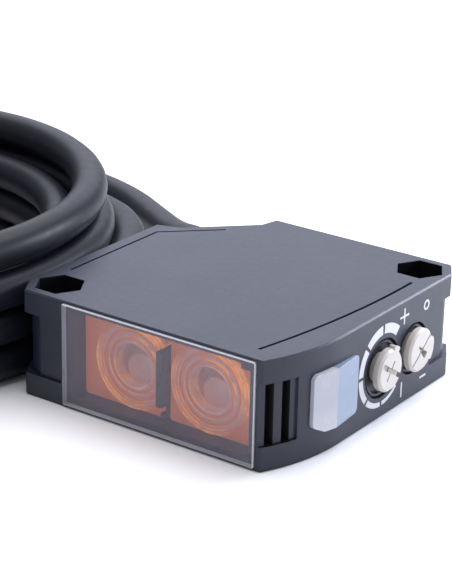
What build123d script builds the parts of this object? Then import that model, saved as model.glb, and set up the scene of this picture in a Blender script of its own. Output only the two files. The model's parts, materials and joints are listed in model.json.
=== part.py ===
# Square photoelectric sensor with side adjusters and a pre-wired cable.
#
# Millimetres, +Z up. The sensor lies on its base. The origin is on the base, midway between
# the two mounting holes, which is the middle of the 50 x 50 body. The lens face looks along
# -Y, the adjusters and indicators face +X, and the cable leaves the cut corner at -X +Y.
from build123d import *
from math import cos, pi, radians, sin, sqrt, tan
import os

# ---------------------------------------------------------------- driving dimensions
BODY = 50.0              # side of the square body
HEIGHT = 17.4            # thickness of the body
HALF = BODY / 2
HOLE_OFFSET = 20.0       # mounting holes at (-20, -20) and (20, 20)
HOLE_R = 2.2             # clearance hole for an M4 screw
NUT_R = 4.04             # corner radius of the 7 mm nut recess
NUT_DEPTH = 3.2
FLOOR = 1.5              # case floor
WALL = 3.2               # case wall
COVER = 1.5              # cover plate
LEDGE = HEIGHT - COVER   # height of the ledge that the cover rests on
GAP = 0.1                # clearance between parts that only sit beside each other

CHAMFER_X, CHAMFER_Y = 2.1, 3.6      # corner cuts beside the mounting holes
SIDE_ARC_R = 31.0                    # rounded front part of the adjuster side
SIDE_ARC_Y = -10.0                   # where the arc meets the straight side

CORNER = 15.75           # mounting corners start this far from the middle
BLOCK = 3.7              # thickness of the block above and below each corner gap
BOSS_R = 4.3             # pillar around the mounting hole
PANEL = 24.5             # recessed panels beside the pillar
PANEL_EDGE = 20.2

EDGE_R = 0.35            # rounding of the upright edges
TOP_BEVEL = 0.25         # bevel around the top and the bottom

CUT_A = (-20.8, 12.15)   # ends of the 45 degree face that the cable leaves
CUT_B = (-11.4, 21.55)
CUT_DISTANCE = (CUT_A[1] - CUT_A[0]) / sqrt(2)
CUT_STEP = 10.7          # the straight sides end here, a small step before that face
OUTSIDE = 30.0           # anywhere beyond the outline of the body

SEAM_X = -22.85          # inner edge of the case rim on the plain side
SEAM_FRONT = -14.2
SEAM_RISE = 30.7         # the seam turns this much further back than it stands out
SEAM_END = (-14.6, 15.8)
RIM_CORNER = (-20.0, 21.2)
SEAM_GAP = 0.4
SIDE_SEAM_X = 22.2       # inner edge of the case rim on the adjuster side
SIDE_SEAM_R = 150.0
SIDE_SEAM_CREST_Y = 12.0 # where the curved seam stands furthest out
SIDE_SEAM_Y = (-21.7, 14.3)
SIDE_SEAM_GAP = 0.5

WINDOW_X = (-15.4, 20.05)
WINDOW_Z = (0.4, 17.0)
WINDOW_PROUD = 0.3
WINDOW_T = 1.0
WINDOW_CORNER_R, WINDOW_BEVEL = 0.3, 0.15
SEAL_T = 0.2
SEAL_GAP = 0.02          # glue line between the window and its seal

LENS_X = (-4.4, 9.7)     # optical axes of the emitter and the receiver
AXIS_Z = 8.7             # height of the optics
LENS_FRONT = -21.4
LENS_T = 2.2
LENS_CORNER_R, LENS_GLUE = 0.5, 0.02
LENS_Z = (1.6, 15.7)
LENS_SPANS = ((-13.8, 1.2), (2.4, 18.4))
LENS_RINGS = (3.75, 4.6, 5.7, 6.4, 7.1)   # raised rings around each lens
RING_W, RING_H = 0.25, 0.25
DISH_DEPTH = 1.5         # hollow inside the first ring, with a dome in it
DOME_R, DOME_H = 2.9, 0.7
BARRIER_X = (1.3, 2.3)   # light barrier between the two lenses
BARRIER_Z = (4.2, 13.1)

BOARD_Z, BOARD_T = 4.2, 1.2
BOARD_TOP = BOARD_Z + BOARD_T
OPTICS_BOARD_Y, OPTICS_BOARD_T = -16.4, 1.0

SENSITIVITY = (1.4, 8.25)            # axes of the two adjusters: y and z
MODE = (10.4, 8.5)
STEM_R, STEM_BORE_R = 2.3, 2.38
WELL_DEPTH = 0.8
HEAD_X = (25.4, 26.6)    # back and face of the knobs' heads

CABLE_R = 3.0
CABLE_Z = 7.6            # height of the cable's axis where it leaves the body
BUSH_LENGTH = 8.0
COIL_CENTRE = (-72.0, -16.0)
COIL_R = 43.0            # middle of the outer column of turns
COIL_INNER_R = COIL_R - 2 * CABLE_R
CORE_R = 0.7

os.makedirs("parts", exist_ok=True)
pieces = {}

DIAGONAL = Vector(-1, 1, 0).normalized()


def along(distance, sideways=0.0, z=CABLE_Z):
    """A point on the cable's axis, so far from the middle of the body."""
    side = Vector(1, 1, 0).normalized()
    return DIAGONAL * distance + side * sideways + Vector(0, 0, z)


def cable_plane(distance):
    """A plane square to the cable's axis, facing out of the body."""
    return Plane(origin=along(distance), x_dir=(-1, -1, 0), z_dir=(-1, 1, 0))


def side_plane(x):
    """The plane across the adjuster side: local x runs along +Y and local y along +Z."""
    return Plane.YZ.offset(x)


def front_plane(y):
    """A plane facing the lens side: local x runs along +X and local y along +Z."""
    return Plane.XZ.offset(-y)


def seam_x(y, inset=0.0):
    """Where the curved seam on the adjuster side lies at a given y."""
    return SIDE_SEAM_X - inset - (y - SIDE_SEAM_CREST_Y) ** 2 / (2 * SIDE_SEAM_R)


def middle(pair):
    return (pair[0] + pair[1]) / 2


def width(pair):
    return pair[1] - pair[0]


# ---------------------------------------------------------------- plan sketches
side_arc_centre = HALF - SIDE_ARC_R
side_front_x = side_arc_centre + sqrt(SIDE_ARC_R**2 - (-HALF - SIDE_ARC_Y) ** 2)
side_mid_y = (-HALF + SIDE_ARC_Y) / 2
side_mid_x = side_arc_centre + sqrt(SIDE_ARC_R**2 - (side_mid_y - SIDE_ARC_Y) ** 2)

# outline of the body, seen from above
with BuildSketch() as outline:
    with BuildLine():
        Polyline(
            (side_front_x, -HALF),
            (-HALF + CHAMFER_X, -HALF),
            (-HALF, -HALF + CHAMFER_Y),
            (-HALF, CUT_STEP),
            CUT_A,
            CUT_B,
            (-CUT_STEP, HALF),
            (HALF - CHAMFER_X, HALF),
            (HALF, HALF - CHAMFER_Y),
            (HALF, SIDE_ARC_Y),
        )
        ThreePointArc((HALF, SIDE_ARC_Y), (side_mid_x, side_mid_y), (side_front_x, -HALF))
    make_face()
    fillet(outline.vertices().filter_by(lambda v: abs(v.Y - SIDE_ARC_Y) > 1), EDGE_R)


def rims(gap):
    """The two strips of case wall that stay level with the cover, widened by a gap."""
    plain_gap, side_gap = gap
    x = SEAM_X + plain_gap
    bend = (x, x + SEAM_RISE - plain_gap * sqrt(2))
    end = (SEAM_END[0] + plain_gap / sqrt(2), SEAM_END[1] - plain_gap / sqrt(2))
    y0, y1 = SIDE_SEAM_Y
    with BuildSketch() as strips:
        with BuildLine():
            Polyline((-OUTSIDE, SEAM_FRONT), (x, SEAM_FRONT), bend, end, RIM_CORNER,
                     (-OUTSIDE, RIM_CORNER[1]), (-OUTSIDE, SEAM_FRONT))
        make_face()
        with BuildLine():
            ThreePointArc(
                (seam_x(y0, side_gap), y0),
                (seam_x(middle((y0, y1)), side_gap), middle((y0, y1))),
                (seam_x(y1, side_gap), y1),
            )
            Polyline((seam_x(y1, side_gap), y1), (OUTSIDE, y1), (OUTSIDE, y0),
                     (seam_x(y0, side_gap), y0))
        make_face()
    return strips.sketch


def outline_edges(part, z):
    """The edges of a part that lie on the body's outline at a given height."""
    wire = outline.sketch.face().outer_wire().moved(Location((0, 0, z)))
    return [
        edge for edge in part.edges()
        if all(wire.distance_to(edge @ place) < 0.001 for place in (0, 0.3, 0.5, 0.8, 1))
    ]


# the area that the cover fills, without and with the grooves beside it
with BuildSketch() as cover_seat:
    add(outline.sketch)
    add(rims((0, 0)), mode=Mode.SUBTRACT)

with BuildSketch() as cover_plan:
    add(outline.sketch)
    add(rims((SEAM_GAP, SIDE_SEAM_GAP)), mode=Mode.SUBTRACT)


def corners(reach, start=CORNER):
    """Squares over the two mounting corners."""
    size = reach - start
    centre = start + size / 2
    with BuildSketch() as squares:
        with Locations((-centre, -centre), (centre, centre)):
            Rectangle(size, size)
    return squares.sketch


# the hollow inside the case
CORNER_WALL = 1.65
LEDGE_W = 0.8            # ledge beside the curved seam
with BuildSketch() as cavity:
    with BuildLine():
        y0, y1 = -HALF + WALL, HALF - WALL
        inset = SIDE_SEAM_GAP + LEDGE_W
        left = -HALF + WALL
        reach = CUT_DISTANCE * sqrt(2) - WALL * sqrt(2)
        Polyline(
            (seam_x(y0, inset), y0), (left, y0), (left, left + reach), (y1 - reach, y1),
            (seam_x(y1, inset), y1),
        )
        ThreePointArc((seam_x(y1, inset), y1), (seam_x(0, inset), 0), (seam_x(y0, inset), y0))
    make_face()
    add(corners(OUTSIDE, CORNER - CORNER_WALL), mode=Mode.SUBTRACT)

# ---------------------------------------------------------------- indicator window profile
INDICATOR_Y = (-17.0, -6.0)
INDICATOR_Z = (3.9, 13.3)
INDICATOR_SEAT_X = 22.9
INDICATOR_GAP, INDICATOR_CORNER_R = 0.06, 0.9
INDICATOR_CUT = (2.3, 1.2)           # cut lower front corner
GUIDE_Y, GUIDE_Z = (-15.6, -7.4), (5.2, 12.0)


def indicator_profile(margin):
    """Face of the indicator window with its rounded corners and its cut lower corner."""
    (y0, y1), (z0, z1) = INDICATOR_Y, INDICATOR_Z
    with BuildSketch(side_plane(INDICATOR_SEAT_X)) as face:
        with BuildLine():
            start = (y0, z0 + INDICATOR_CUT[1])
            Polyline(start, (y0 + INDICATOR_CUT[0], z0), (y1, z0), (y1, z1), (y0, z1), start)
        make_face()
        fillet(face.vertices(), INDICATOR_CORNER_R)
        if margin:
            offset(amount=margin, mode=Mode.REPLACE)
    return face.sketch


# ---------------------------------------------------------------- case
SLOTS_Y = (-23.5, -20.95)            # the two deep slots beside the lens
SLOT_W, SLOT_Z, SLOT_DEPTH = 1.3, (3.95, 13.75), 1.5
SLOT_PANEL_Y = (-25.0, -19.3)        # shallow panel that the slots are cut in
SLOT_PANEL_DEPTH = 0.4
BOARD_POSTS = ((-17.6, -8.0), (9.0, 17.6))
POST_R, POST_BORE_R = 2.0, 0.85
BUSH_BORE_R = 4.0
THROUGH = 12.0                       # long enough to cut through the adjuster side
OPENING_X = (-14.0, 17.0)
OPENING_Z = (FLOOR, LEDGE)
BAY_X = (OPENING_X[1], 18.6)         # lower bay beside the opening, under the cover's seam
BAY_Z = (FLOOR, 15.0)
HOLDER_BACK = -17.3
REBATE_Y = -HALF - WINDOW_PROUD + WINDOW_T + SEAL_GAP + SEAL_T
WELLS = ((SENSITIVITY, 4.8), (MODE, 4.2))
COLLAR_INSET, COLLAR_W, COLLAR_H = 0.6, 0.35, 0.6
CLIP_SEAT_X, CLIP_SEAT_R = 20.9, 3.4

def opening(mode=Mode.ADD):
    """The opening behind the window, with the lower bay beside it."""
    for across, up in ((OPENING_X, OPENING_Z), (BAY_X, BAY_Z)):
        with Locations((middle(across), middle(up))):
            Rectangle(width(across), width(up), mode=mode)


with BuildPart() as case:
    with BuildSketch():
        add(outline.sketch)
    extrude(amount=HEIGHT)
    # seat of the cover, and the grooves beside it
    with BuildSketch(Plane.XY.offset(LEDGE)):
        add(cover_seat.sketch)
    extrude(amount=COVER, mode=Mode.SUBTRACT)
    # open mounting corners, above the bottom blocks
    with BuildSketch(Plane.XY.offset(BLOCK)):
        add(corners(OUTSIDE))
    extrude(amount=HEIGHT - BLOCK, mode=Mode.SUBTRACT)
    with BuildSketch(Plane.XY.offset(FLOOR)):
        add(cavity.sketch)
    extrude(amount=HEIGHT - FLOOR, mode=Mode.SUBTRACT)
    # pillars and recessed panels of the mounting corners
    with BuildSketch(Plane.XY.offset(BLOCK)):
        with Locations((-HOLE_OFFSET, -HOLE_OFFSET), (HOLE_OFFSET, HOLE_OFFSET)):
            Circle(BOSS_R)
        for sign in (-1, 1):
            for size in ((PANEL_EDGE, PANEL), (PANEL, PANEL_EDGE)):
                with Locations((sign * (CORNER + size[0]) / 2, sign * (CORNER + size[1]) / 2)):
                    Rectangle(size[0] - CORNER, size[1] - CORNER)
    extrude(amount=HEIGHT - 2 * BLOCK)
    with Locations((-HOLE_OFFSET, -HOLE_OFFSET, 0), (HOLE_OFFSET, HOLE_OFFSET, 0)):
        Cylinder(HOLE_R, HEIGHT, align=(Align.CENTER, Align.CENTER, Align.MIN), mode=Mode.SUBTRACT)
    # rebate of the lens window, and the opening behind it
    with BuildSketch(front_plane(-HALF)):
        with Locations((middle(WINDOW_X), middle(WINDOW_Z))):
            Rectangle(width(WINDOW_X) + 2 * GAP, width(WINDOW_Z) + 2 * GAP)
    extrude(amount=-(REBATE_Y + HALF), mode=Mode.SUBTRACT)
    with BuildSketch(front_plane(-HALF)):
        opening()
    extrude(amount=-(HOLDER_BACK + HALF), mode=Mode.SUBTRACT)
    # ribbed panel: a shallow recess with two deep slots, following the rounded side
    with BuildSketch(Plane.XY.offset(SLOT_Z[0])):
        add(outline.sketch)
        with Locations((HALF, middle(SLOT_PANEL_Y))):
            Rectangle(THROUGH, width(SLOT_PANEL_Y), mode=Mode.INTERSECT)
        with Locations((side_arc_centre, SIDE_ARC_Y)):
            Circle(SIDE_ARC_R - SLOT_PANEL_DEPTH, mode=Mode.SUBTRACT)
    extrude(amount=width(SLOT_Z), mode=Mode.SUBTRACT)
    for y in SLOTS_Y:
        surface = side_arc_centre + sqrt(SIDE_ARC_R**2 - (y - SIDE_ARC_Y) ** 2)
        with Locations((surface - SLOT_DEPTH, y, middle(SLOT_Z))):
            Box(THROUGH, SLOT_W, width(SLOT_Z), align=(Align.MIN, Align.CENTER, Align.CENTER),
                mode=Mode.SUBTRACT)
    # seat and light opening of the indicator window
    seat = extrude(indicator_profile(INDICATOR_GAP), amount=THROUGH, mode=Mode.PRIVATE)
    add(seat, mode=Mode.SUBTRACT)
    with Locations((INDICATOR_SEAT_X, middle(GUIDE_Y), middle(GUIDE_Z))):
        Box(THROUGH, width(GUIDE_Y) + 2 * GAP, width(GUIDE_Z) + 2 * GAP,
            align=(Align.MAX, Align.CENTER, Align.CENTER), mode=Mode.SUBTRACT)
    # wells and bores of the adjusters, each with a raised collar around its knob
    for centre, radius in WELLS:
        with BuildSketch(side_plane(HALF)):
            with Locations(centre):
                Circle(radius)
        extrude(amount=-WELL_DEPTH, mode=Mode.SUBTRACT)
    for centre, radius in WELLS:
        with BuildSketch(side_plane(HALF - WELL_DEPTH)):
            with Locations(centre):
                Circle(radius - COLLAR_INSET + COLLAR_W / 2)
                Circle(radius - COLLAR_INSET - COLLAR_W / 2, mode=Mode.SUBTRACT)
        extrude(amount=COLLAR_H)
        with BuildSketch(side_plane(HALF)):
            with Locations(centre):
                Circle(STEM_BORE_R)
        extrude(amount=-THROUGH, mode=Mode.SUBTRACT)
        with BuildSketch(side_plane(CLIP_SEAT_X)):
            with Locations(centre):
                Circle(CLIP_SEAT_R)
        extrude(amount=-3, mode=Mode.SUBTRACT)
    # bore of the cable bush
    with BuildSketch(cable_plane(CUT_DISTANCE)):
        Circle(BUSH_BORE_R)
    extrude(amount=-(WALL + 1), mode=Mode.SUBTRACT)
    # posts under the main board
    with BuildSketch(Plane.XY.offset(FLOOR)):
        with Locations(*BOARD_POSTS):
            Circle(POST_R)
            Circle(POST_BORE_R, mode=Mode.SUBTRACT)
    extrude(amount=BOARD_Z - FLOOR)
    for z in (0, HEIGHT):
        chamfer(outline_edges(case, z), TOP_BEVEL)
pieces["case"] = case

# ---------------------------------------------------------------- cover and its gasket
GASKET = (0.15, 0.6)                 # gasket between these distances outside the cavity
GASKET_T, GASKET_GROOVE = 0.38, 0.4
GASKET_SLACK = 0.05
COVER_GAP = 0.02
OPTICS_POCKET_Y = (-24.1, -17.2)     # the cover is hollowed over the lenses
OPTICS_POCKET_DEPTH = 0.7


def gasket_ring(near, far):
    with BuildSketch() as ring:
        offset(cavity.sketch, amount=far, kind=Kind.INTERSECTION)
        offset(cavity.sketch, amount=near, kind=Kind.INTERSECTION, mode=Mode.SUBTRACT)
        # the ring is open in front, over the lenses
        with Locations((middle(OPENING_X), middle(OPTICS_POCKET_Y))):
            Rectangle(width(OPENING_X) + 2 * GAP, width(OPTICS_POCKET_Y) + 2 * GAP,
                      mode=Mode.SUBTRACT)
    return ring.sketch


with BuildPart() as cover:
    with BuildSketch(Plane.XY.offset(LEDGE)):
        add(cover_plan.sketch)
    extrude(amount=COVER)
    # blocks over the mounting corners
    with BuildSketch(Plane.XY.offset(HEIGHT - BLOCK)):
        add(outline.sketch)
        add(corners(OUTSIDE, CORNER + COVER_GAP), mode=Mode.INTERSECT)
    extrude(amount=BLOCK)
    # nut recesses and screw holes
    for sign in (-1, 1):
        with BuildSketch(Plane.XY.offset(HEIGHT)):
            with Locations((sign * HOLE_OFFSET, sign * HOLE_OFFSET)):
                RegularPolygon(NUT_R, 6)
        extrude(amount=-NUT_DEPTH, mode=Mode.SUBTRACT)
        with BuildSketch(Plane.XY.offset(HEIGHT)):
            with Locations((sign * HOLE_OFFSET, sign * HOLE_OFFSET)):
                Circle(HOLE_R)
        extrude(amount=-BLOCK, mode=Mode.SUBTRACT)
    # room for the top edge of the lens window
    with BuildSketch(front_plane(-HALF)):
        with Locations((middle(WINDOW_X), middle(WINDOW_Z))):
            Rectangle(width(WINDOW_X) + 2 * GAP, width(WINDOW_Z) + 2 * GAP)
    extrude(amount=-(REBATE_Y + HALF), mode=Mode.SUBTRACT)
    with BuildSketch(Plane.XY.offset(LEDGE)):
        add(gasket_ring(GASKET[0] - GASKET_SLACK, GASKET[1] + GASKET_SLACK))
    extrude(amount=GASKET_GROOVE, mode=Mode.SUBTRACT)
    with BuildSketch(Plane.XY.offset(LEDGE)):
        with Locations((middle(OPENING_X), middle(OPTICS_POCKET_Y))):
            Rectangle(width(OPENING_X) - 2 * GAP, width(OPTICS_POCKET_Y))
    extrude(amount=OPTICS_POCKET_DEPTH, mode=Mode.SUBTRACT)
    chamfer(outline_edges(cover, HEIGHT), TOP_BEVEL)
pieces["cover"] = cover

with BuildPart() as cover_gasket:
    with BuildSketch(Plane.XY.offset(LEDGE)):
        add(gasket_ring(*GASKET))
    extrude(amount=GASKET_T)
pieces["cover_gasket"] = cover_gasket

# ---------------------------------------------------------------- lens window and optics
with BuildPart() as lens_window:
    with BuildSketch(front_plane(-HALF - WINDOW_PROUD)):
        with Locations((middle(WINDOW_X), middle(WINDOW_Z))):
            RectangleRounded(width(WINDOW_X), width(WINDOW_Z), WINDOW_CORNER_R)
    extrude(amount=-WINDOW_T)
    chamfer(lens_window.faces().sort_by(Axis.Y)[0].edges(), WINDOW_BEVEL)
pieces["lens_window"] = lens_window

with BuildPart() as window_seal:
    with BuildSketch(front_plane(REBATE_Y - SEAL_T)):
        with Locations((middle(WINDOW_X), middle(WINDOW_Z))):
            Rectangle(width(WINDOW_X), width(WINDOW_Z))
        opening(mode=Mode.SUBTRACT)
    extrude(amount=-SEAL_T)
pieces["window_seal"] = window_seal

HOLDER_X = (OPENING_X[0] + GAP, OPENING_X[1] - GAP)
HOLDER_Z = (OPENING_Z[0] + GAP, LENS_Z[1])
HOLDER_FRONT = LENS_FRONT + LENS_T + LENS_GLUE
LIGHT_PATH_R = 5.2

# frame behind the two lenses, with a light path to the emitter and to the receiver
with BuildPart() as lens_holder:
    with BuildSketch(front_plane(HOLDER_FRONT)):
        with Locations((middle(HOLDER_X), middle(HOLDER_Z))):
            Rectangle(width(HOLDER_X), width(HOLDER_Z))
        with Locations(*((x, AXIS_Z) for x in LENS_X)):
            Circle(LIGHT_PATH_R, mode=Mode.SUBTRACT)
    extrude(amount=-(HOLDER_BACK - HOLDER_FRONT - GAP))
pieces["lens_holder"] = lens_holder

# light barrier: a tall blade in front of the lenses, its root between them and a peg under it
BARRIER_FRONT, BARRIER_ROOT_FRONT = -23.6, -21.0
PEG_R, PEG_Z, PEG_REACH = 0.5, 2.5, 1.4
PEG_ROOT = 0.1                       # the peg is sunk this far into the blade's root
with BuildPart() as light_barrier:
    with BuildSketch(front_plane(BARRIER_FRONT)):
        with Locations((middle(BARRIER_X), middle(BARRIER_Z))):
            Rectangle(width(BARRIER_X), width(BARRIER_Z))
    extrude(amount=-(HOLDER_FRONT - BARRIER_FRONT))
    with BuildSketch(front_plane(BARRIER_ROOT_FRONT)):
        with Locations((middle(BARRIER_X), (LENS_Z[0] + BARRIER_Z[1]) / 2)):
            Rectangle(width(BARRIER_X), BARRIER_Z[1] - LENS_Z[0])
    extrude(amount=-(HOLDER_FRONT - BARRIER_ROOT_FRONT))
    with BuildSketch(front_plane(BARRIER_ROOT_FRONT - PEG_REACH)):
        with Locations((middle(BARRIER_X), PEG_Z)):
            Circle(PEG_R)
    extrude(amount=-(PEG_REACH + PEG_ROOT))
pieces["light_barrier"] = light_barrier


def lens(span, axis_x):
    """A flat lens plate with stepped rings and a domed middle."""
    with BuildPart() as plate:
        with BuildSketch(front_plane(LENS_FRONT)):
            with Locations((middle(span), middle(LENS_Z))):
                RectangleRounded(width(span), width(LENS_Z), LENS_CORNER_R)
            # step that clears the roof of the lower bay
            with Locations((BAY_X[0] - 2 * GAP, BAY_Z[1] - GAP)):
                Rectangle(HEIGHT, HEIGHT, align=(Align.MIN, Align.MIN), mode=Mode.SUBTRACT)
        extrude(amount=-LENS_T)
        # dished middle with a domed lens in it
        with BuildSketch(front_plane(LENS_FRONT)):
            with Locations((axis_x, AXIS_Z)):
                Circle(LENS_RINGS[0] - RING_W)
        extrude(amount=-DISH_DEPTH, mode=Mode.SUBTRACT)
        dish = Plane((axis_x, LENS_FRONT + DISH_DEPTH, AXIS_Z), x_dir=(1, 0, 0), z_dir=(0, 0, 1))
        with BuildSketch(dish):
            with BuildLine():
                Line((0, 0), (0, -DOME_H))
                RadiusArc((0, -DOME_H), (DOME_R, 0), (DOME_R**2 + DOME_H**2) / (2 * DOME_H))
                Line((DOME_R, 0), (0, 0))
            make_face()
        revolve(axis=Axis((axis_x, LENS_FRONT, AXIS_Z), (0, 1, 0)))
        for ring in LENS_RINGS:
            with BuildSketch(front_plane(LENS_FRONT)):
                with Locations((axis_x, AXIS_Z)):
                    Circle(ring)
                    Circle(ring - RING_W, mode=Mode.SUBTRACT)
                with Locations((middle(span), middle(LENS_Z))):
                    Rectangle(width(span), width(LENS_Z), mode=Mode.INTERSECT)
            extrude(amount=RING_H)
    return plate


pieces["emitter_lens"] = lens(LENS_SPANS[0], LENS_X[0])
pieces["receiver_lens"] = lens(LENS_SPANS[1], LENS_X[1])

# emitter: a round LED with its flange, glued to the optics board
LED_R, LED_FLANGE_R = 2.4, 2.8
LED_LENGTH, LED_FLANGE_T, LED_FOOT = 1.2, 0.8, 0.05
with BuildPart() as emitter_led:
    with BuildSketch(front_plane(OPTICS_BOARD_Y - LED_FLANGE_T)):
        with Locations((LENS_X[0], AXIS_Z)):
            Circle(LED_FLANGE_R)
    extrude(amount=-(LED_FLANGE_T - LED_FOOT))
    with BuildSketch(front_plane(OPTICS_BOARD_Y - LED_LENGTH)):
        with Locations((LENS_X[0], AXIS_Z)):
            Circle(LED_R)
    extrude(amount=-(LED_LENGTH - 2 * LED_FOOT))
pieces["emitter_led"] = emitter_led

with BuildPart() as receiver_photodiode:
    with Locations((LENS_X[1], OPTICS_BOARD_Y - GAP / 2, AXIS_Z)):
        Box(4.6, 1.2, 4.0, align=(Align.CENTER, Align.MAX, Align.CENTER))
pieces["receiver_photodiode"] = receiver_photodiode

with BuildPart() as receiver_shield:
    with Locations((LENS_X[1], OPTICS_BOARD_Y - GAP / 2, AXIS_Z)):
        Box(6.6, 2.4, 6.0, align=(Align.CENTER, Align.MAX, Align.CENTER))
        Box(6.0, 2.1, 5.4, align=(Align.CENTER, Align.MAX, Align.CENTER), mode=Mode.SUBTRACT)
        Box(3.2, 8.0, 3.0, align=(Align.CENTER, Align.MAX, Align.CENTER), mode=Mode.SUBTRACT)
pieces["receiver_shield"] = receiver_shield

# ---------------------------------------------------------------- circuit boards
BOARD_X = (-21.3, 17.6)
BOARD_Y = (-13.6, 21.3)
BOARD_NOTCH = 13.6                   # the board leaves the mounting corner free from here
BUSH_NOTCH, BUSH_NOTCH_AT = 13.2, 19.0
BOARD_HOLE_R = 0.95

with BuildPart() as main_board:
    with BuildSketch(Plane.XY.offset(BOARD_Z)):
        with Locations((middle(BOARD_X), middle(BOARD_Y))):
            Rectangle(width(BOARD_X), width(BOARD_Y))
        with Locations((BOARD_X[1], BOARD_Y[1])):
            Rectangle(2 * (BOARD_X[1] - BOARD_NOTCH), 2 * (BOARD_Y[1] - BOARD_NOTCH),
                      mode=Mode.SUBTRACT)
        # clear of the cable bush and its clamp, and of the cut corner
        with Locations(Location((-BUSH_NOTCH_AT, BUSH_NOTCH_AT), 45)):
            Rectangle(BODY, 2 * (BUSH_NOTCH_AT * sqrt(2) - BUSH_NOTCH), mode=Mode.SUBTRACT)
        with Locations(*BOARD_POSTS):
            Circle(BOARD_HOLE_R, mode=Mode.SUBTRACT)
    extrude(amount=BOARD_T)
pieces["main_board"] = main_board

SHANK_R = 0.8                        # thread-forming screws of the board and the cable clamp
SCREW_TIP_Z, SCREW_HEAD_R, SCREW_HEAD_T = 2.2, 1.7, 1.0
DRIVE_W, DRIVE_REACH, DRIVE_DEPTH = 0.4, 2.0, 0.5
with BuildPart() as board_screws:
    with BuildSketch(Plane.XY.offset(SCREW_TIP_Z)):
        with Locations(*BOARD_POSTS):
            Circle(SHANK_R)
    extrude(amount=BOARD_TOP - SCREW_TIP_Z)
    with BuildSketch(Plane.XY.offset(BOARD_TOP)):
        with Locations(*BOARD_POSTS):
            Circle(SCREW_HEAD_R)
    extrude(amount=SCREW_HEAD_T)
    with BuildSketch(Plane.XY.offset(BOARD_TOP + SCREW_HEAD_T)):
        with Locations(*BOARD_POSTS):
            Rectangle(DRIVE_REACH, DRIVE_W)
            Rectangle(DRIVE_W, DRIVE_REACH)
    extrude(amount=-DRIVE_DEPTH, mode=Mode.SUBTRACT)
pieces["board_screws"] = board_screws

with BuildPart() as optics_board:
    with Locations((2.0, OPTICS_BOARD_Y, BOARD_TOP + 0.4)):
        Box(30.8, OPTICS_BOARD_T, 9.4, align=(Align.CENTER, Align.MIN, Align.MIN))
pieces["optics_board"] = optics_board

# right-angle pin header that joins the two boards
HEADER_X = [-2.54 * 2.5 + 2.54 * step for step in range(6)]
with BuildPart() as board_header:
    with Locations((0, OPTICS_BOARD_Y + OPTICS_BOARD_T + 1.3, BOARD_TOP)):
        Box(15.2, 2.4, 2.4, align=(Align.CENTER, Align.MIN, Align.MIN))
pieces["board_header"] = board_header

with BuildPart() as header_pins:
    for x in HEADER_X:
        with Locations((x, OPTICS_BOARD_Y + OPTICS_BOARD_T + 0.05, BOARD_TOP + 1.0)):
            Box(0.6, 1.2, 0.6, align=(Align.CENTER, Align.MIN, Align.MIN))
pieces["header_pins"] = header_pins

# ---------------------------------------------------------------- parts on the main board


def chip(x, y, size, height, pins_per_side=0, pin_pitch=1.27):
    """A moulded package on the main board, with its legs as one solid."""
    with BuildPart() as package:
        with Locations((x, y, BOARD_TOP + 0.15)):
            Box(size[0], size[1], height, align=(Align.CENTER, Align.CENTER, Align.MIN))
        for step in range(pins_per_side):
            offset_x = (step - (pins_per_side - 1) / 2) * pin_pitch
            with Locations((x + offset_x, y, BOARD_TOP)):
                Box(0.4, size[1] + 1.6, 0.3, align=(Align.CENTER, Align.CENTER, Align.MIN))
    return package


pieces["controller_chip"] = chip(-3.2, -1.8, (9.8, 5.4), 1.5, 7)
pieces["amplifier_chip"] = chip(-13.0, -9.5, (4.9, 3.9), 1.5, 4)

with BuildPart() as output_transistors:
    for y in (-2.5, 3.5):
        with Locations((-15.5, y, BOARD_TOP)):
            Box(6.4, 3.4, 1.7, align=(Align.CENTER, Align.CENTER, Align.MIN))
            Box(8.2, 1.2, 0.4, align=(Align.CENTER, Align.CENTER, Align.MIN))
pieces["output_transistors"] = output_transistors

with BuildPart() as filter_capacitors:
    for x, y in ((1.0, 12.5), (5.2, 7.8)):
        with Locations((x, y, BOARD_TOP)):
            Cylinder(2.0, 6.2, align=(Align.CENTER, Align.CENTER, Align.MIN))
pieces["filter_capacitors"] = filter_capacitors

with BuildPart() as surge_diodes:
    for x in (-3.4, 1.2):
        with Locations((x + 2.0, 16.4, BOARD_TOP)):
            Box(4.2, 2.4, 1.9, align=(Align.CENTER, Align.CENTER, Align.MIN))
pieces["surge_diodes"] = surge_diodes

with BuildPart() as chip_resistors:
    with Locations((4.0, -8.0, BOARD_TOP)):
        with GridLocations(2.2, 2.0, 4, 2):
            Box(1.3, 0.8, 0.5, align=(Align.CENTER, Align.CENTER, Align.MIN))
pieces["chip_resistors"] = chip_resistors

with BuildPart() as chip_capacitors:
    with Locations((-5.0, -7.5, BOARD_TOP)):
        with GridLocations(2.6, 2.4, 3, 2):
            Box(1.5, 0.9, 0.8, align=(Align.CENTER, Align.CENTER, Align.MIN))
pieces["chip_capacitors"] = chip_capacitors

# two indicator LEDs, bent over so that they shine into the indicator window
INDICATOR_LEDS = {"stability_led": -13.6, "output_led": -9.4}
LENS_LED_R, LENS_LED_FLANGE_R, LENS_LED_FLANGE_T, LENS_LED_LENGTH = 1.5, 1.75, 0.8, 3.8
LENS_LED_X, LENS_LED_Z = 13.6, 8.6
LEG, LEG_HEIGHT, LEG_OFFSET = 0.5, 3.6, 0.6
for led_name, y in INDICATOR_LEDS.items():
    with BuildPart() as led:
        for radius, length in (
            (LENS_LED_FLANGE_R, LENS_LED_FLANGE_T), (LENS_LED_R, LENS_LED_LENGTH),
        ):
            with BuildSketch(side_plane(LENS_LED_X)):
                with Locations((y, LENS_LED_Z)):
                    Circle(radius)
            extrude(amount=length)
        legs = [(LENS_LED_X - 0.4, y + side * LEG_OFFSET, BOARD_TOP) for side in (-1, 1)]
        with Locations(*legs):
            Box(LEG, LEG, LEG_HEIGHT, align=(Align.MIN, Align.CENTER, Align.MIN))
    pieces[led_name] = led

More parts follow.
